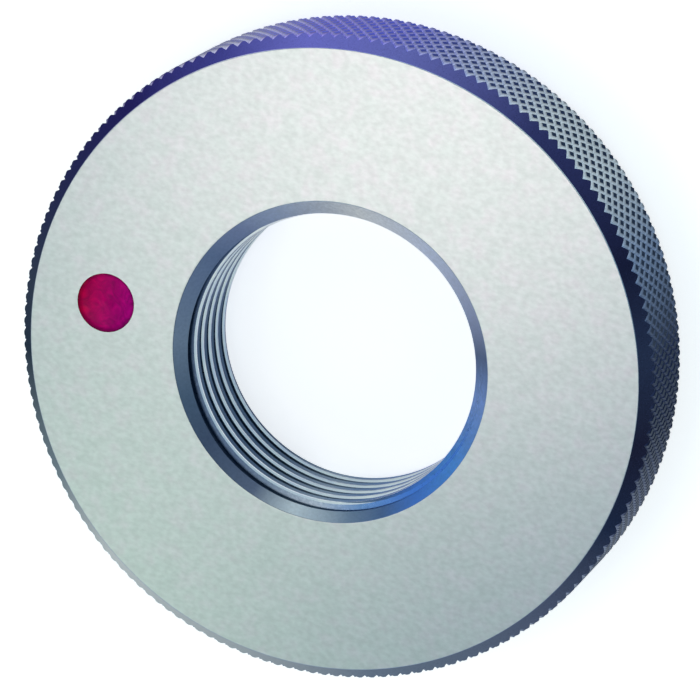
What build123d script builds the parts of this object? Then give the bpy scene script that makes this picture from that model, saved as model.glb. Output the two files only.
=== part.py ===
from build123d import *
from math import ceil, cos, pi, radians, sin, tan
import os

# A solid not-go thread ring gauge. It lies on its plain face with the middle of that face at
# the origin, the bore along Z and the marked face up. Millimetres and degrees throughout.

# Blank
outer_diameter = 63.0
width = 12.0
rim_chamfer = 1.2

# Diamond knurl on the rim
knurl_pitch = 1.22
knurl_angle = 31.0
knurl_depth = 0.33

# Thread M30 x 2, right-hand, with its crests cut back as on a not-go gauge
thread_pitch = 2.0
thread_angle = 60.0
pitch_diameter = 28.48
crest_rise = 0.2  # from the pitch diameter in to the crests
mouth_chamfer = 1.66  # from the crests out to the edge of each mouth
thread_start = 1.6  # how deep below the marked face the groove passes the line to the mark

# Flat-bottomed spot sunk in the marked face, and the red lacquer that half fills it
mark_diameter = 5.8
mark_margin = 4.5  # from the spot to the rim chamfer
spot_depth = 1.0
lacquer_rim = 0.12
lacquer_dish = 0.45

outer_radius = outer_diameter / 2
crest_diameter = pitch_diameter - 2 * crest_rise
mouth_diameter = crest_diameter + 2 * mouth_chamfer
crest_radius = crest_diameter / 2
mouth_radius = mouth_diameter / 2
mark_radius = mark_diameter / 2
mark_place = Pos(outer_radius - rim_chamfer - mark_margin - mark_radius, 0, width)


def turned(*outline):
    """Turn an outline of (radius, height) points about the Z axis."""
    return revolve(make_face(Plane.XZ * Polyline(*outline, close=True)), Axis.Z)


def knurled_blank():
    """The ring before it is bored, with the diamond knurl between its two chamfers.

    Steps go round the rim, two to a tooth, and rows go up it. Two grooves cross where step and
    row are both odd or both even, and a diamond comes to its point at each place between. The
    end rows are crossings that lie on the chamfers, so a chamfer trims each diamond there.
    Where a chamfer meets its face there is one corner to two teeth, which keeps the facets few.
    """
    teeth = 2 * round(pi * outer_diameter / knurl_pitch / 2)
    first_row = rim_chamfer - knurl_depth
    band = width - 2 * first_row
    rows = 2 * round(band * tan(radians(knurl_angle)) / knurl_pitch)
    row_height = band / rows
    trim = knurl_depth / (knurl_depth + row_height)

    def rim_point(step, depth, height):
        angle = pi * step / teeth
        radius = outer_radius - depth
        return Vector(radius * cos(angle), radius * sin(angle), height)

    def knurl_point(step, row):
        depth = 0 if (step + row) % 2 else knurl_depth
        return rim_point(step, depth, first_row + row_height * row)

    def facet(*corners):
        return Face(Wire.make_polygon(corners))

    facets = []
    for row in range(1, rows):
        for step in range(1 - row % 2, 2 * teeth, 2):
            around = [(step + 1, row), (step, row + 1), (step - 1, row), (step, row - 1)]
            corners = [knurl_point(*place) for place in around]
            for i, corner in enumerate(corners):
                facets.append(facet(knurl_point(step, row), corner, corners[(i + 1) % 4]))

    for face_height, end, inward in ((0, 0, 1), (width, rows, -1)):
        ridge_height = first_row + row_height * (end + inward * trim)
        for step in range(1, 2 * teeth, 2):
            ridge = rim_point(step, knurl_depth * trim, ridge_height)
            corner = rim_point(4 * round(step / 4), rim_chamfer, face_height)
            for side in (step - 1, step + 1):
                crossing = knurl_point(side, end)
                facets.append(facet(ridge, crossing, corner))
                facets.append(facet(ridge, crossing, knurl_point(step, end + inward)))
        edge = [rim_point(step, rim_chamfer, face_height) for step in range(0, 2 * teeth, 4)]
        for i, corner in enumerate(edge):
            facets.append(facet(edge[i - 1], corner, knurl_point(4 * i - 2, end)))
        facets.append(facet(*edge))
    return Solid(Shell(facets))


def bore():
    """The hole along the thread's crests and its two chamfered mouths, run on past the faces."""
    overrun = mouth_chamfer / 2
    widest = mouth_radius + overrun
    return turned(
        (0, -overrun),
        (widest, -overrun),
        (crest_radius, mouth_chamfer),
        (crest_radius, width - mouth_chamfer),
        (widest, width + overrun),
        (0, width + overrun),
    )


def thread_groove():
    """The V between the thread's ridges, as wide as they are at the pitch diameter.

    It starts and ends outside the ring. Its path is one helix a turn, joined end to end.
    """
    flank_slope = tan(radians(thread_angle / 2))
    root_radius = pitch_diameter / 2 + thread_pitch / 4 / flank_slope
    inner_radius = crest_radius - thread_pitch / 8
    half_width = (root_radius - inner_radius) * flank_slope
    outline = Polyline(
        (inner_radius, -half_width), (root_radius, 0), (inner_radius, half_width), close=True
    )
    turns = ceil(width / thread_pitch) + 2
    turn = Edge.make_helix(thread_pitch, thread_pitch, crest_radius)
    path = Wire([Pos(0, 0, thread_pitch * i) * turn for i in range(turns)])
    groove = sweep(make_face(Plane.XZ * outline), path=path, is_frenet=True)
    return Pos(0, 0, width - thread_start - thread_pitch * (turns - 1)) * groove


def spot():
    """The hollow for the lacquer."""
    return mark_place * turned((0, -spot_depth), (mark_radius, -spot_depth), (mark_radius, 0), (0, 0))


def lacquer():
    """Lacquer that fills the spot to just below its edge, and dishes as it dries."""
    return mark_place * turned(
        (0, -spot_depth), (mark_radius, -spot_depth), (mark_radius, -lacquer_rim), (0, -lacquer_dish)
    )


gauge_ring = knurled_blank() - bore() - thread_groove() - spot()
red_mark = lacquer()

os.makedirs("parts", exist_ok=True)
export_step(gauge_ring, "parts/gauge_ring.step")
export_step(red_mark, "parts/red_mark.step")
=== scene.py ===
import math

import bpy
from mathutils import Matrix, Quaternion, Vector


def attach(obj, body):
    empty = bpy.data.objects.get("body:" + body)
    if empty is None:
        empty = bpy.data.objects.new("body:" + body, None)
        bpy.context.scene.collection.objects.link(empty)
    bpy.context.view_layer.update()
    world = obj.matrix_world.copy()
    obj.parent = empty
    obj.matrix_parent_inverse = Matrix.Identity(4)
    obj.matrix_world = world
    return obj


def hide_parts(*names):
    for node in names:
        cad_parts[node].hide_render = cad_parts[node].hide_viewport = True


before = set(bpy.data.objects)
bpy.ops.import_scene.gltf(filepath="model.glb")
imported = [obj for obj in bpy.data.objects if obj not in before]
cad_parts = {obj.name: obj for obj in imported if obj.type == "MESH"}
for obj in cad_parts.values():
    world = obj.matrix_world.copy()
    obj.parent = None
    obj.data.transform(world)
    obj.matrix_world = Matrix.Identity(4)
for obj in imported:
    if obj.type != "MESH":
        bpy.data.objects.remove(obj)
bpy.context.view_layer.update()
mm = 0.001  # settings are in millimetres and degrees, unless a note says otherwise


# selection and clean-up

def nothingSelected():
    if bpy.context.object and bpy.context.object.mode != "OBJECT":
        bpy.ops.object.mode_set(mode="OBJECT")
    bpy.ops.object.select_all(action="DESELECT")


def onlySelect(piece):
    nothingSelected()
    piece.select_set(True)
    bpy.context.view_layer.objects.active = piece


def editWhere(piece, kind, wanted):  # edit mode, with only the wanted verts or faces selected
    onlySelect(piece)
    bpy.ops.object.mode_set(mode="EDIT")
    bpy.ops.mesh.select_mode(type=kind)
    bpy.ops.mesh.select_all(action="DESELECT")
    bpy.ops.object.mode_set(mode="OBJECT")
    for part in piece.data.vertices if kind == "VERT" else piece.data.polygons:
        part.select = wanted(part.co if kind == "VERT" else part)
    bpy.ops.object.mode_set(mode="EDIT")


def editAll(piece):
    onlySelect(piece)
    bpy.ops.object.mode_set(mode="EDIT")
    bpy.ops.mesh.select_mode(type="VERT")
    bpy.ops.mesh.select_all(action="SELECT")


def placeInMesh(piece):  # the object goes to the origin, and its place into the mesh
    onlySelect(piece)
    bpy.ops.object.transform_apply(location=True, rotation=True, scale=True)


mendSettings = {
    "merge": 0.002,  # points closer than this become one
    "sliver": 0.001,  # edges shorter than this go
    "near": 0.01,  # what counts as lying on a plane or at a radius
}


def mergeAndFaceOut(piece):
    editAll(piece)
    bpy.ops.mesh.remove_doubles(threshold=mendSettings["merge"] * mm)
    bpy.ops.mesh.dissolve_degenerate(threshold=mendSettings["sliver"] * mm)
    bpy.ops.mesh.normals_make_consistent(inside=False)
    bpy.ops.object.mode_set(mode="OBJECT")


def cutWith(piece, tool, operation):
    onlySelect(piece)
    cut = piece.modifiers.new("cut", "BOOLEAN")
    cut.operation = operation
    cut.solver = "EXACT"
    cut.object = tool
    bpy.ops.object.modifier_apply(modifier=cut.name)
    bpy.data.objects.remove(tool)


def sectionPlane(name, innerRadius, outerRadius, low, high):  # a flat section on the XZ plane
    nothingSelected()
    middle = ((innerRadius + outerRadius) / 2 * mm, 0, (low + high) / 2 * mm)
    bpy.ops.mesh.primitive_plane_add(size=1, location=middle, rotation=(math.pi / 2, 0, 0))
    piece = bpy.context.object
    piece.name = name
    piece.scale = ((outerRadius - innerRadius) * mm, (high - low) * mm, 1)
    placeInMesh(piece)
    return piece


def keepOutline():  # in edit mode: the section's edges stay, its faces go
    bpy.ops.mesh.select_all(action="SELECT")
    bpy.ops.mesh.delete(type="ONLY_FACE")
    bpy.ops.mesh.select_all(action="SELECT")


# camera

cameraSettings = {
    "place": (-111.58, -133.32, 413.50),
    "target": (-1.70, -2.57, 12.0),
    "roll": -127.16,
    "lens": 237.74,
    "sensor": 36,
    "clip": (10, 20000),
}


def makeCamera(settings):
    place = Vector(settings["place"]) * mm
    look = (Vector(settings["target"]) * mm - place).to_track_quat("-Z", "Y")
    data = bpy.data.cameras.new("photoCamera")
    data.lens = settings["lens"]
    data.sensor_width = settings["sensor"]
    data.clip_start, data.clip_end = (end * mm for end in settings["clip"])
    camera = bpy.data.objects.new("photoCamera", data)
    bpy.context.scene.collection.objects.link(camera)
    camera.location = place
    camera.rotation_mode = "QUATERNION"
    camera.rotation_quaternion = look @ Quaternion((0, 0, 1), math.radians(settings["roll"]))
    bpy.context.scene.camera = camera


makeCamera(cameraSettings)
print("camera placed")


# the ring: a turned blank, knurled on the rim, threaded in the bore, sunk for the mark

blankSettings = {
    "outerRadius": 31.5,
    "width": 12.0,
    "rimChamfer": 1.2,
    "boreRadius": 14.04,
    "mouthRadius": 15.7,
    "edgeBreak": 0.05,  # what a stone takes off each turned edge
    "spinSteps": 324,
    "spare": 0.4,  # left on the rim for the knurl
}

knurlSettings = {
    "teeth": 162,
    "rows": 10,
    "depth": 0.33,
    "flatTop": 57,  # percent of each diamond's slope that its worn top takes
}

threadSettings = {
    "pitch": 2.0,
    "start": 1.6,  # how deep below the marked face its root crosses the +X line
    "pitchRadius": 14.24,
    "flankAngle": 30,
    "flankDepth": 0.24,  # a not-go thread has short flanks, with a plain slot behind them
    "slotHalf": 0.4,
    "rootRadius": 14.8,
    "crestRound": 0.05,
    "tapReach": 0.2,  # how far the tap runs on inside the crests
    "tapFlare": 1.22,  # how much wider it is there, which rounds the crests
    "stepsPerTurn": 144,
}

markSettings = {
    "radius": 2.9,
    "offset": 22.9,
    "depth": 1.0,
    "spotSteps": 128,
    "cutterTop": 0.5,  # how far the cutter stands out of the face
    "cutterRing": 0.3,  # the ring of faces round the spot's floor
    "rim": 0.03,  # the lacquer climbs nearly to the edge
    "lacquerSteps": 96,
    "dish": (  # how far in, and how far down from the last ring
        (0.07, 0.12),
        (0.16, 0.09),
        (0.50, 0.05),
        (0.70, 0.04),
        (0.60, 0.03),
        (0.40, 0.02),
        (0.20, 0.03),
        (0.08, 0.01),
    ),
    "smoothUnder": 50,
}


def turnBlank():
    s = blankSettings
    wide = s["outerRadius"] + s["spare"]
    blank = sectionPlane("ringBody", s["boreRadius"], wide, 0, s["width"])
    middle = (s["boreRadius"] + wide) / 2 * mm
    editWhere(blank, "VERT", lambda co: co.x > middle)
    bpy.ops.mesh.bevel(offset=(s["rimChamfer"] + s["spare"]) * mm, affect="VERTICES")
    editWhere(blank, "VERT", lambda co: co.x < middle)
    bpy.ops.mesh.bevel(offset=(s["mouthRadius"] - s["boreRadius"]) * mm, affect="VERTICES")
    editAll(blank)
    bpy.ops.mesh.bevel(offset=s["edgeBreak"] * mm, segments=2, affect="VERTICES")
    keepOutline()
    bpy.ops.mesh.spin(steps=s["spinSteps"], angle=2 * math.pi, center=(0, 0, 0), axis=(0, 0, 1))
    mergeAndFaceOut(blank)
    return blank


def knurlBar():  # a solid bar that carries the knurl past both chamfers
    teeth, rows, depth = (knurlSettings[k] for k in ("teeth", "rows", "depth"))
    share = knurlSettings["flatTop"] / 100
    tipRadius = blankSettings["outerRadius"] + depth * share / (1 - share)
    lowRadius = blankSettings["outerRadius"] - depth
    firstRow = blankSettings["rimChamfer"] - depth
    rowHeight = (blankSettings["width"] - 2 * firstRow) / rows
    nothingSelected()
    bpy.ops.mesh.primitive_circle_add(
        vertices=2 * teeth,
        radius=tipRadius * mm,
        fill_type="NGON",
        location=(0, 0, (firstRow - rowHeight) * mm),
    )
    bar = bpy.context.object
    bar.name = "knurledBar"
    placeInMesh(bar)
    editAll(bar)
    for row in range(rows + 2):
        bpy.ops.mesh.extrude_region_move(TRANSFORM_OT_translate={"value": (0, 0, rowHeight * mm)})
    mergeAndFaceOut(bar)

    def crossing(co):  # two grooves cross where step and row are both odd or both even
        step = round(math.atan2(co.y, co.x) * teeth / math.pi)
        return (step + round((co.z / mm - firstRow) / rowHeight)) % 2 == 0

    editWhere(bar, "VERT", crossing)
    shrink = lowRadius / tipRadius
    bpy.ops.transform.resize(value=(shrink, shrink, 1), center_override=(0, 0, 0))
    bpy.ops.mesh.select_all(action="SELECT")
    bpy.ops.mesh.quads_convert_to_tris(quad_method="SHORTEST_DIAGONAL", ngon_method="BEAUTY")
    low = (firstRow - rowHeight / 2) * mm
    high = blankSettings["width"] * mm - low
    half = (lowRadius + tipRadius) / 2 * mm
    editWhere(bar, "VERT", lambda co: math.hypot(co.x, co.y) > half and low < co.z < high)
    bpy.ops.mesh.bevel(offset_type="PERCENT", offset_pct=100 * share, affect="VERTICES")
    bpy.ops.object.mode_set(mode="OBJECT")
    return bar


def makeTap():  # the shape of the thread's groove, run on past both faces
    s = threadSettings
    crest = blankSettings["boreRadius"]
    slope = math.tan(math.radians(s["flankAngle"]))
    sharp = s["pitchRadius"] + s["pitch"] / 4 / slope  # where the flanks would meet
    inner = crest - s["tapReach"]
    rounded = crest + s["crestRound"]
    slot = crest + s["flankDepth"]
    halfWidths = {
        inner: (sharp - inner) * slope * s["tapFlare"],
        rounded: (sharp - rounded) * slope,
        slot: (sharp - slot) * slope,
        s["rootRadius"]: s["slotHalf"],
    }
    flatHalf = 0.5  # half of the section's height before it is drawn in
    tap = sectionPlane("tap", inner, s["rootRadius"], -flatHalf, flatHalf)
    editAll(tap)
    for radius in (rounded, slot):
        bpy.ops.mesh.select_all(action="SELECT")
        bpy.ops.mesh.bisect(plane_co=(radius * mm, 0, 0), plane_no=(1, 0, 0))
    for radius, half in halfWidths.items():
        editWhere(tap, "VERT", lambda co: abs(co.x - radius * mm) < mendSettings["near"] * mm)
        bpy.ops.transform.resize(value=(1, 1, half / flatHalf), center_override=(0, 0, 0))
    bpy.ops.mesh.select_all(action="SELECT")
    bpy.ops.mesh.dissolve_limited(angle_limit=math.radians(1))
    keepOutline()
    bpy.ops.object.mode_set(mode="OBJECT")
    turns = math.ceil(blankSettings["width"] / s["pitch"]) + 2
    helix = tap.modifiers.new("helix", "SCREW")
    helix.screw_offset = s["pitch"] * mm
    helix.iterations = turns
    helix.steps = helix.render_steps = s["stepsPerTurn"]
    bpy.ops.object.modifier_apply(modifier=helix.name)
    tap.location.z = (blankSettings["width"] - s["start"] - s["pitch"] * (turns - 1)) * mm
    placeInMesh(tap)
    editAll(tap)
    bpy.ops.mesh.fill_holes(sides=0)
    mergeAndFaceOut(tap)
    return tap


def makeSinker():  # the flat cutter that sinks the spot for the mark
    s = markSettings
    over = s["cutterTop"]
    nothingSelected()
    bpy.ops.mesh.primitive_cylinder_add(
        vertices=s["spotSteps"],
        radius=s["radius"] * mm,
        depth=(s["depth"] + over) * mm,
        location=(s["offset"] * mm, 0, (blankSettings["width"] + (over - s["depth"]) / 2) * mm),
    )
    sinker = bpy.context.object
    placeInMesh(sinker)
    editWhere(sinker, "FACE", lambda face: face.normal.z < -0.9)
    bpy.ops.mesh.inset(thickness=s["cutterRing"] * mm)
    bpy.ops.object.mode_set(mode="OBJECT")
    return sinker


ringBody = turnBlank()
print("blank turned:", len(ringBody.data.polygons), "faces")
cutWith(ringBody, knurlBar(), "INTERSECT")
print("rim knurled:", len(ringBody.data.polygons), "faces")
cutWith(ringBody, makeTap(), "DIFFERENCE")
print("thread cut:", len(ringBody.data.polygons), "faces")
cutWith(ringBody, makeSinker(), "DIFFERENCE")
mergeAndFaceOut(ringBody)
print("spot sunk:", len(ringBody.data.polygons), "faces")


# the mark: a drop of lacquer that dishes to a small pit as it dries

def pourMark():
    s = markSettings
    top = blankSettings["width"]
    nothingSelected()
    bpy.ops.mesh.primitive_circle_add(
        vertices=s["lacquerSteps"],
        radius=s["radius"] * mm,
        fill_type="NGON",
        location=(s["offset"] * mm, 0, (top - s["depth"]) * mm),
    )
    mark = bpy.context.object
    mark.name = "redMark"
    placeInMesh(mark)
    editAll(mark)
    bpy.ops.mesh.extrude_region_move(
        TRANSFORM_OT_translate={"value": (0, 0, (s["depth"] - s["rim"]) * mm)}
    )
    for inward, down in s["dish"]:
        bpy.ops.mesh.inset(thickness=inward * mm)
        bpy.ops.transform.translate(value=(0, 0, -down * mm))
    mergeAndFaceOut(mark)
    onlySelect(mark)
    bpy.ops.object.shade_smooth_by_angle(angle=math.radians(s["smoothUnder"]))
    return mark


redMark = pourMark()
print("mark poured:", len(redMark.data.polygons), "faces")


# what the ring is made of, with painted reflections, painted highlights and painted shade, chosen by where
# each face lies

faceKindSettings = {  # slopes are the share of a face's normal that lies along Z
    "spotAbove": 5,  # the spot is in the upper half
    "rimFrom": 25,
    "chamferSlope": 0.69,
    "chamferOut": 0.6,  # the share of its normal that points away from the axis, or to it
    "topBand": 0.015,  # the diamonds' flat tops lie this near the outer radius
    "mouthBand": 0.06,  # a mouth's faces lie this near its cone
    "mouthSlope": (0.68, 0.74),
    "flankSlope": 0.4,
    "smoothUnder": 8,  # the knurl and the edge breaks are steeper, and stay crisp
}


def ringFaceKind(face):
    s = faceKindSettings
    near = mendSettings["near"]
    x, y, z = face.center / mm
    radius = math.hypot(x, y)
    outward = (face.normal.x * x + face.normal.y * y) / radius
    deep = min(z, blankSettings["width"] - z)
    slope = abs(face.normal.z)
    if deep < near:
        return 0  # the two ground faces
    fromMark = math.hypot(x - markSettings["offset"], y)
    if fromMark < markSettings["radius"] + near and z > s["spotAbove"]:
        return 1  # the wall and floor of the spot
    if radius > s["rimFrom"]:
        if slope > s["chamferSlope"] and abs(outward) > s["chamferOut"]:
            return 1  # rim chamfers and their edges
        return 2 if radius > blankSettings["outerRadius"] - s["topBand"] else 3
    fromCone = abs(radius + deep - blankSettings["mouthRadius"])
    if fromCone < s["mouthBand"] and s["mouthSlope"][0] < slope < s["mouthSlope"][1]:
        return 4  # the turned mouths
    flankEnd = blankSettings["boreRadius"] + threadSettings["flankDepth"]
    return 5 if radius < flankEnd and slope > s["flankSlope"] else 6  # flanks, or crests and slots


# materials

def linear(hexColour):
    out = []
    for i in (1, 3, 5):
        c = int(hexColour[i:i + 2], 16) / 255
        out.append(c / 12.92 if c <= 0.04045 else ((c + 0.055) / 1.055) ** 2.4)
    return (*out, 1)


def addNode(tree, kind, settings=None, links=None):  # settings: attribute, ramp stops or input
    node = tree.nodes.new(kind)
    for name, value in (settings or {}).items():
        if name == "stops":
            ramp = node.color_ramp
            ramp.elements[0].position, ramp.elements[1].position = value[0][0], value[-1][0]
            for at, colour in value[1:-1]:
                ramp.elements.new(at)
            for element, (at, colour) in zip(ramp.elements, value):
                element.color = linear(colour)
        elif hasattr(node, str(name)):
            setattr(node, name, value)
        else:
            node.inputs[name].default_value = value
    for name, socket in (links or {}).items():
        tree.links.new(socket, node.inputs[name])
    return node


noiseSpread = {"From Min": 0.3, "From Max": 0.7}  # nearly all of a noise lies between these
multiplied = {"data_type": "RGBA", "blend_type": "MULTIPLY", 0: 1.0}


def startMaterial(name, plain):  # a principled material with its plain values set
    material = bpy.data.materials.new(name)
    material.use_nodes = True
    tree = material.node_tree
    shader = tree.nodes["Principled BSDF"]
    for socket, value in plain.items():
        shader.inputs[socket].default_value = value
    place = addNode(tree, "ShaderNodeTexCoord").outputs["Object"]
    return material, tree, shader, place


groundSettings = {
    "grain": 0.44,  # drawn coarser than real grit, which would not show
    "stretch": 1.5,  # the last strokes ran along X
    "cloud": 1.6,
    "relief": 0.0012,
    "rough": 0.35,
    "shade": (0.86, 1.0),  # how dark and how pale the grain gets
    "tones": ((0.32, "#CED4D2"), (0.5, "#D1D5D4"), (0.68, "#D5D4D6")),
}


def groundSteel():  # hardened tool steel, surface ground and lapped: a pale satin, with a fine grain
    s = groundSettings
    plain = {"Metallic": 1.0, "Roughness": s["rough"]}
    material, tree, shader, place = startMaterial("groundToolSteel", plain)
    settings = {"Scale": (1 / s["stretch"], 1, 1)}
    drawn = addNode(tree, "ShaderNodeMapping", settings, {"Vector": place}).outputs["Vector"]
    settings = {"Scale": 1 / (s["grain"] * mm), "Detail": 3}
    grain = addNode(tree, "ShaderNodeTexNoise", settings, {"Vector": drawn}).outputs["Fac"]
    settings = {"Scale": 1 / (s["cloud"] * mm), "Detail": 4}
    cloud = addNode(tree, "ShaderNodeTexNoise", settings, {"Vector": place}).outputs["Fac"]
    tone = addNode(tree, "ShaderNodeValToRGB", {"stops": s["tones"]}, {"Fac": cloud}).outputs["Color"]
    settings = {**noiseSpread, "To Min": s["shade"][0], "To Max": s["shade"][1]}
    shade = addNode(tree, "ShaderNodeMapRange", settings, {"Value": grain}).outputs["Result"]
    toned = addNode(tree, "ShaderNodeMix", multiplied, {6: tone, 7: shade}).outputs[2]
    bump = addNode(tree, "ShaderNodeBump", {"Distance": s["relief"] * mm}, {"Height": grain})
    tree.links.new(toned, shader.inputs["Base Color"])
    tree.links.new(bump.outputs["Normal"], shader.inputs["Normal"])
    return material


chamferSettings = {
    "name": "chamferPaintedReflections",
    "grain": 0.2,
    "pits": 0.85,  # how dark the grain gets
    "rough": 0.3,
    "relief": 0.001,
    "edge": "#BCC4D0",  # the tint where it is seen edge on
    "tones": (  # painted reflections and painted shade, once round the ring, from -X by -Y, +X and +Y
        (0.0, "#1B1E33"), (0.045, "#26314B"), (0.09, "#1A1F3A"), (0.167, "#333969"),
        (0.24, "#676BB2"), (0.29, "#6C6CC0"), (0.335, "#3F3F86"), (0.39, "#221C52"),
        (0.46, "#262643"), (0.5, "#2F323F"), (0.535, "#191D22"), (0.6, "#707A7C"), (0.65, "#C4C5C0"),
        (0.71, "#AAADAB"), (0.8, "#646E7D"), (0.9, "#485066"), (0.955, "#1C263E"), (1.0, "#1B1E33"),
    ),
}

topSettings = {
    "name": "knurlTopsPaintedShade",
    "grain": 0.2,
    "pits": 0.8,
    "rough": 0.35,
    "relief": 0.001,
    "edge": "#BCC4D0",
    # painted shade on the flat tops, with a painted violet reflection, once round the ring from -X by -Y,
    # +X and +Y
    "tones": (
        (0.0, "#0C101C"), (0.16, "#0C162E"), (0.22, "#1E2666"), (0.26, "#4446C8"), (0.31, "#504ED8"),
        (0.36, "#302C80"), (0.42, "#101224"), (0.52, "#1C2840"), (0.66, "#2A3A58"), (0.8, "#26344E"),
        (0.9, "#0E1626"), (1.0, "#0A0E1A"),
    ),
}

grooveSettings = {
    "name": "knurlGroovesPaintedReflections",
    "grain": 0.6,
    "pits": 0.8,
    "rough": 0.38,
    "relief": 0.002,
    "edge": "#E2EAF6",
    "paintedTopShade": 0.28,  # painted shade: how much darker a diamond is painted from the bottom of its groove up to its flat top
    # painted reflections and painted shade, once round the ring from -X by -Y, +X and +Y
    "tones": (
        (0.0, "#222E50"), (0.04, "#2E3C62"), (0.09, "#94ACCE"), (0.13, "#E8F6FF"), (0.17, "#ECF8FF"),
        (0.21, "#D6E0FF"), (0.25, "#B0ACFF"), (0.29, "#B0A2FF"), (0.335, "#E8E0FF"),
        (0.375, "#A69ACE"), (0.45, "#4A5070"), (0.55, "#66768E"), (0.66, "#98A8BE"), (0.8, "#96A6C0"),
        (0.955, "#667090"), (1.0, "#222E50"),
    ),
}

mouthSettings = {
    "name": "mouthPaintedReflections",
    "grain": 0.3,
    "pits": 0.85,
    "rough": 0.4,
    "relief": 0.0004,
    "edge": "#FFFFFF",
    # painted reflections, white at the brightest, and painted shade, once round the ring from -X by -Y, +X
    # and +Y
    "tones": (
        (0.0, "#99BDFF"), (0.045, "#6278A2"), (0.083, "#9FABCF"), (0.167, "#DDE5FC"),
        (0.25, "#FFFFFF"), (0.335, "#B6C4E1"), (0.38, "#8291B6"), (0.42, "#65789A"),
        (0.52, "#72849B"), (0.58, "#536780"), (0.625, "#4B5A75"), (0.695, "#63718B"),
        (0.74, "#CCD9E2"), (0.8, "#748BA5"), (0.835, "#54719C"), (0.875, "#5186DB"),
        (0.93, "#64ABFF"), (1.0, "#99BDFF"),
    ),
}

crestSettings = {
    "name": "threadCrestPaintedReflections",
    "grain": 0.3,
    "pits": 0.85,
    "rough": 0.3,
    "relief": 0.0005,
    "edge": "#BCC4D0",
    # painted shade, with lighter painted reflections, once round the ring from -X by -Y, +X and +Y
    "tones": (
        (0.0, "#6C82B6"), (0.09, "#7484A8"), (0.3, "#8E9EC0"), (0.4, "#5A6A88"), (0.5, "#485A72"),
        (0.66, "#44566E"), (0.7, "#526478"), (0.76, "#8494A2"), (0.81, "#5478A4"), (0.87, "#4070BE"),
        (0.94, "#4676C8"), (1.0, "#6C82B6"),
    ),
}
roughSway = (-0.04, 0.06)  # how far the grain moves the roughness


def paintedReflectionSteel(s):  # dark steel, its colour round the ring painted: painted reflections and painted shade from ink to violet and pale grey; it stays dark edge on
    plain = {"Metallic": 1.0, "Specular Tint": linear(s["edge"])}
    material, tree, shader, place = startMaterial(s["name"], plain)
    settings = {"Scale": 1 / (s["grain"] * mm), "Detail": 2}
    grain = addNode(tree, "ShaderNodeTexNoise", settings, {"Vector": place}).outputs["Fac"]
    axes = addNode(tree, "ShaderNodeSeparateXYZ", links={"Vector": place}).outputs
    angle = addNode(tree, "ShaderNodeMath", {"operation": "ARCTAN2"}, {0: axes["Y"], 1: axes["X"]})
    settings = {"From Min": -math.pi, "From Max": math.pi}  # once round the ring, from the -X side
    turn = addNode(tree, "ShaderNodeMapRange", settings, {"Value": angle.outputs[0]}).outputs["Result"]
    # the ramp paints reflections and shade by the angle round the ring
    tone = addNode(tree, "ShaderNodeValToRGB", {"stops": s["tones"]}, {"Fac": turn}).outputs["Color"]
    settings = {**noiseSpread, "To Min": s["pits"], "To Max": 1.0}
    shade = addNode(tree, "ShaderNodeMapRange", settings, {"Value": grain}).outputs["Result"]
    toned = addNode(tree, "ShaderNodeMix", multiplied, {6: tone, 7: shade}).outputs[2]
    if "paintedTopShade" in s:  # painted shade: the diamonds are painted darker from their grooves up to their flat tops
        settings = {"operation": "MULTIPLY", 1: (1, 1, 0)}
        flat = addNode(tree, "ShaderNodeVectorMath", settings, {0: place}).outputs["Vector"]
        reach = addNode(tree, "ShaderNodeVectorMath", {"operation": "LENGTH"}, {0: flat}).outputs["Value"]
        outer = blankSettings["outerRadius"]
        settings = {"From Min": (outer - knurlSettings["depth"]) * mm, "From Max": outer * mm}
        settings.update({"To Min": 1.0, "To Max": s["paintedTopShade"]})
        paintedTopShade = addNode(tree, "ShaderNodeMapRange", settings, {"Value": reach}).outputs["Result"]
        toned = addNode(tree, "ShaderNodeMix", multiplied, {6: toned, 7: paintedTopShade}).outputs[2]
    low, high = (s["rough"] + sway for sway in roughSway)
    settings = {**noiseSpread, "To Min": low, "To Max": high}
    roughness = addNode(tree, "ShaderNodeMapRange", settings, {"Value": grain}).outputs["Result"]
    bump = addNode(tree, "ShaderNodeBump", {"Distance": s["relief"] * mm}, {"Height": grain})
    tree.links.new(toned, shader.inputs["Base Color"])
    tree.links.new(roughness, shader.inputs["Roughness"])
    tree.links.new(bump.outputs["Normal"], shader.inputs["Normal"])
    return material


flankHighlightSettings = {
    "grain": 1.5,
    "rough": (0.3, 0.36),
    # near white: the painted highlight
    "tones": ((0.3, "#F0F2FC"), (0.7, "#FFFFFF")),
}


def lappedFlankHighlight():  # the thread's flanks, lapped to size: the same steel as the crests painted near white, a painted highlight that draws bright thin lines along the dark thread
    s = flankHighlightSettings
    material, tree, shader, place = startMaterial("lappedFlankPaintedHighlight", {"Metallic": 1.0})
    settings = {"Scale": 1 / (s["grain"] * mm), "Detail": 1}
    grain = addNode(tree, "ShaderNodeTexNoise", settings, {"Vector": place}).outputs["Fac"]
    tone = addNode(tree, "ShaderNodeValToRGB", {"stops": s["tones"]}, {"Fac": grain}).outputs["Color"]
    settings = {**noiseSpread, "To Min": s["rough"][0], "To Max": s["rough"][1]}
    rough = addNode(tree, "ShaderNodeMapRange", settings, {"Value": grain}).outputs["Result"]
    tree.links.new(tone, shader.inputs["Base Color"])
    tree.links.new(rough, shader.inputs["Roughness"])
    return material


lacquerSettings = {
    "streak": 1.3,
    "swirl": 1.6,  # how much the streaks are stirred, as a bare factor
    "drift": 2.4,  # how far the streaks move the tone
    "relief": 0.03,
    "rough": 0.25,
    "gloss": 0.04,
    "shade": (0.62, 1.1),
    "tones": ((0.1, "#C60084"), (0.45, "#CE0074"), (0.75, "#D80064"), (1.0, "#E6004A")),  # -X to +X
    "rim": ((0.86, "#FFFFFF"), (0.98, "#B4A4C4")),  # darker against the spot's wall, where the lacquer lies thicker: partly its deeper colour, partly painted shade
}


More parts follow.
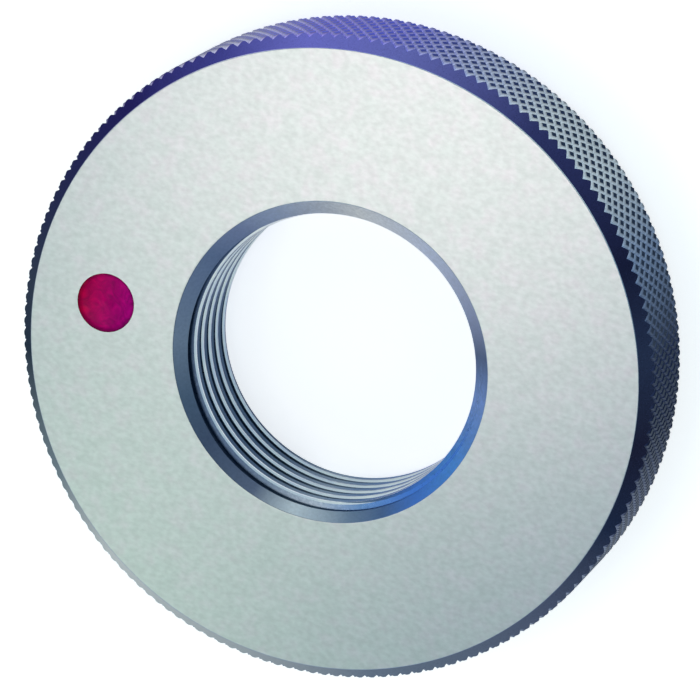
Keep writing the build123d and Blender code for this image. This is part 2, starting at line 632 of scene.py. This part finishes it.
def crimsonLacquer():  # air-dried lacquer, poured by hand: smooth, deep crimson, uneven in tone
    s = lacquerSettings
    plain = {"Roughness": s["rough"], "Specular IOR Level": s["gloss"]}
    material, tree, shader, place = startMaterial("crimsonLacquer", plain)
    settings = {"Location": (-markSettings["offset"] * mm, 0, 0)}
    centred = addNode(tree, "ShaderNodeMapping", settings, {"Vector": place}).outputs["Vector"]
    settings = {"Scale": 1 / (s["streak"] * mm), "Detail": 4, "Distortion": s["swirl"]}
    streak = addNode(tree, "ShaderNodeTexNoise", settings, {"Vector": centred}).outputs["Fac"]
    across = addNode(tree, "ShaderNodeSeparateXYZ", links={"Vector": centred}).outputs["X"]
    settings = {"operation": "MULTIPLY_ADD", 1: s["drift"] * mm}
    drift = addNode(tree, "ShaderNodeMath", settings, {0: streak, 2: across}).outputs[0]
    radius = markSettings["radius"] * mm
    half = s["drift"] / 2 * mm
    settings = {"From Min": half - radius, "From Max": half + radius}
    along = addNode(tree, "ShaderNodeMapRange", settings, {"Value": drift}).outputs["Result"]
    tone = addNode(tree, "ShaderNodeValToRGB", {"stops": s["tones"]}, {"Fac": along}).outputs["Color"]
    settings = {"operation": "MULTIPLY", 1: (1 / radius, 1 / radius, 0)}
    flat = addNode(tree, "ShaderNodeVectorMath", settings, {0: centred}).outputs["Vector"]
    reach = addNode(tree, "ShaderNodeVectorMath", {"operation": "LENGTH"}, {0: flat}).outputs["Value"]
    rim = addNode(tree, "ShaderNodeValToRGB", {"stops": s["rim"]}, {"Fac": reach}).outputs["Color"]
    settings = {**noiseSpread, "To Min": s["shade"][0], "To Max": s["shade"][1]}
    shade = addNode(tree, "ShaderNodeMapRange", settings, {"Value": streak}).outputs["Result"]
    toned = addNode(tree, "ShaderNodeMix", multiplied, {6: tone, 7: rim}).outputs[2]
    toned = addNode(tree, "ShaderNodeMix", multiplied, {6: toned, 7: shade}).outputs[2]
    bump = addNode(tree, "ShaderNodeBump", {"Distance": s["relief"] * mm}, {"Height": streak})
    tree.links.new(toned, shader.inputs["Base Color"])
    tree.links.new(bump.outputs["Normal"], shader.inputs["Normal"])
    return material


ringMaterials = (  # in the order of the numbers that the face sorter above gives
    groundSteel(),
    paintedReflectionSteel(chamferSettings),
    paintedReflectionSteel(topSettings),
    paintedReflectionSteel(grooveSettings),
    paintedReflectionSteel(mouthSettings),
    lappedFlankHighlight(),
    paintedReflectionSteel(crestSettings),
)
for material in ringMaterials:
    ringBody.data.materials.append(material)
counts = [0] * len(ringMaterials)
for face in ringBody.data.polygons:
    face.material_index = ringFaceKind(face)
    counts[face.material_index] += 1
onlySelect(ringBody)
bpy.ops.object.shade_smooth_by_angle(angle=math.radians(faceKindSettings["smoothUnder"]))
redMark.data.materials.append(crimsonLacquer())
print("materials on:", counts, "faces of each")

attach(ringBody, "root")
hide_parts("gauge_ring")
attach(redMark, "root")
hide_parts("red_mark")


# floor: a wide pale dish, so that the background stays pale from any side

floorSettings = {
    "radius": 2000,
    "steps": 96,
    "drop": 0.02,  # below the ring
    "rimSteps": ((1.06, 30), (1.03, 80), (1.0, 500)),  # how much wider, and how far up
    "fibre": 400,
    "rough": 0.9,
    "tones": ((0.0, "#EFEFEE"), (1.0, "#F2F2F1")),
    "lift": 0.68,  # how much paler the floor looks than its lit colour
}


def layFloor():
    s = floorSettings
    nothingSelected()
    bpy.ops.mesh.primitive_circle_add(
        vertices=s["steps"],
        radius=s["radius"] * mm,
        fill_type="NGON",
        location=(0, 0, -s["drop"] * mm),
    )
    floor = bpy.context.object
    floor.name = "paleFloor"
    placeInMesh(floor)
    editAll(floor)
    bpy.ops.mesh.region_to_loop()
    for grow, up in s["rimSteps"]:
        bpy.ops.mesh.extrude_edges_move(TRANSFORM_OT_translate={"value": (0, 0, up * mm)})
        bpy.ops.transform.resize(value=(grow, grow, 1), center_override=(0, 0, 0))
    bpy.ops.object.mode_set(mode="OBJECT")
    return floor


def palePaper():  # matt background paper, lifted towards white where it is seen or mirrored
    s = floorSettings
    material, tree, shader, place = startMaterial("paleBackgroundPaper", {"Roughness": s["rough"]})
    settings = {"Scale": 1 / (s["fibre"] * mm)}
    fibre = addNode(tree, "ShaderNodeTexNoise", settings, {"Vector": place}).outputs["Fac"]
    tone = addNode(tree, "ShaderNodeValToRGB", {"stops": s["tones"]}, {"Fac": fibre}).outputs["Color"]
    tree.links.new(tone, shader.inputs["Base Color"])
    path = addNode(tree, "ShaderNodeLightPath").outputs
    seen = path["Is Camera Ray"]
    for ray in ("Is Glossy Ray", "Is Transmission Ray"):
        seen = addNode(tree, "ShaderNodeMath", {"operation": "MAXIMUM"}, {0: seen, 1: path[ray]}).outputs[0]
    settings = {"operation": "MULTIPLY", 1: s["lift"]}
    lift = addNode(tree, "ShaderNodeMath", settings, {0: seen}).outputs[0]
    glow = addNode(tree, "ShaderNodeEmission", links={"Strength": lift})
    both = addNode(tree, "ShaderNodeAddShader", links={0: shader.outputs[0], 1: glow.outputs[0]})
    tree.links.new(both.outputs[0], tree.nodes["Material Output"].inputs["Surface"])
    return material


floor = layFloor()
floor.data.materials.append(palePaper())


# light: a pale room, and softboxes over the ring

worldStops = (  # from the horizon, at 0, to straight up
    (0.0, "#E6E8EA"), (0.35, "#DAE2E4"), (0.7, "#BCD3D4"), (0.85, "#7F9DB6"), (1.0, "#417694"),
)

overheadSettings = {
    "name": "overheadBox",
    "place": (60, 30, 262),
    "width": 110,
    "height": 80,
    "brightness": 3.0,
    "colour": "#FFF2E8",
}

sideSettings = {
    "name": "sideBox",
    "place": (109, 148, 262),
    "width": 50,
    "height": 90,
    "brightness": 1.9,
    "colour": "#EBFFD2",
}


def lightRoom():
    world = bpy.data.worlds.new("paleRoom")
    bpy.context.scene.world = world
    world.use_nodes = True
    tree = world.node_tree
    direction = addNode(tree, "ShaderNodeTexCoord").outputs["Generated"]
    height = addNode(tree, "ShaderNodeSeparateXYZ", links={"Vector": direction}).outputs["Z"]
    sky = addNode(tree, "ShaderNodeValToRGB", {"stops": worldStops}, {"Fac": height})
    tree.links.new(sky.outputs["Color"], tree.nodes["Background"].inputs["Color"])


def hangLamp(s):  # a softbox that shines straight down
    data = bpy.data.lights.new(s["name"], "AREA")
    data.shape = "RECTANGLE"
    data.size = s["width"] * mm
    data.size_y = s["height"] * mm
    data.energy = s["brightness"] * math.pi * data.size * data.size_y
    data.color = linear(s["colour"])[:3]
    lamp = bpy.data.objects.new(s["name"], data)
    bpy.context.scene.collection.objects.link(lamp)
    lamp.location = Vector(s["place"]) * mm
    lamp.rotation_euler = Vector((0, 0, -1)).to_track_quat("-Z", "Y").to_euler()
    lamp.visible_camera = False


lightRoom()
hangLamp(overheadSettings)
hangLamp(sideSettings)
bpy.context.scene.view_settings.view_transform = "Standard"
print("lit")
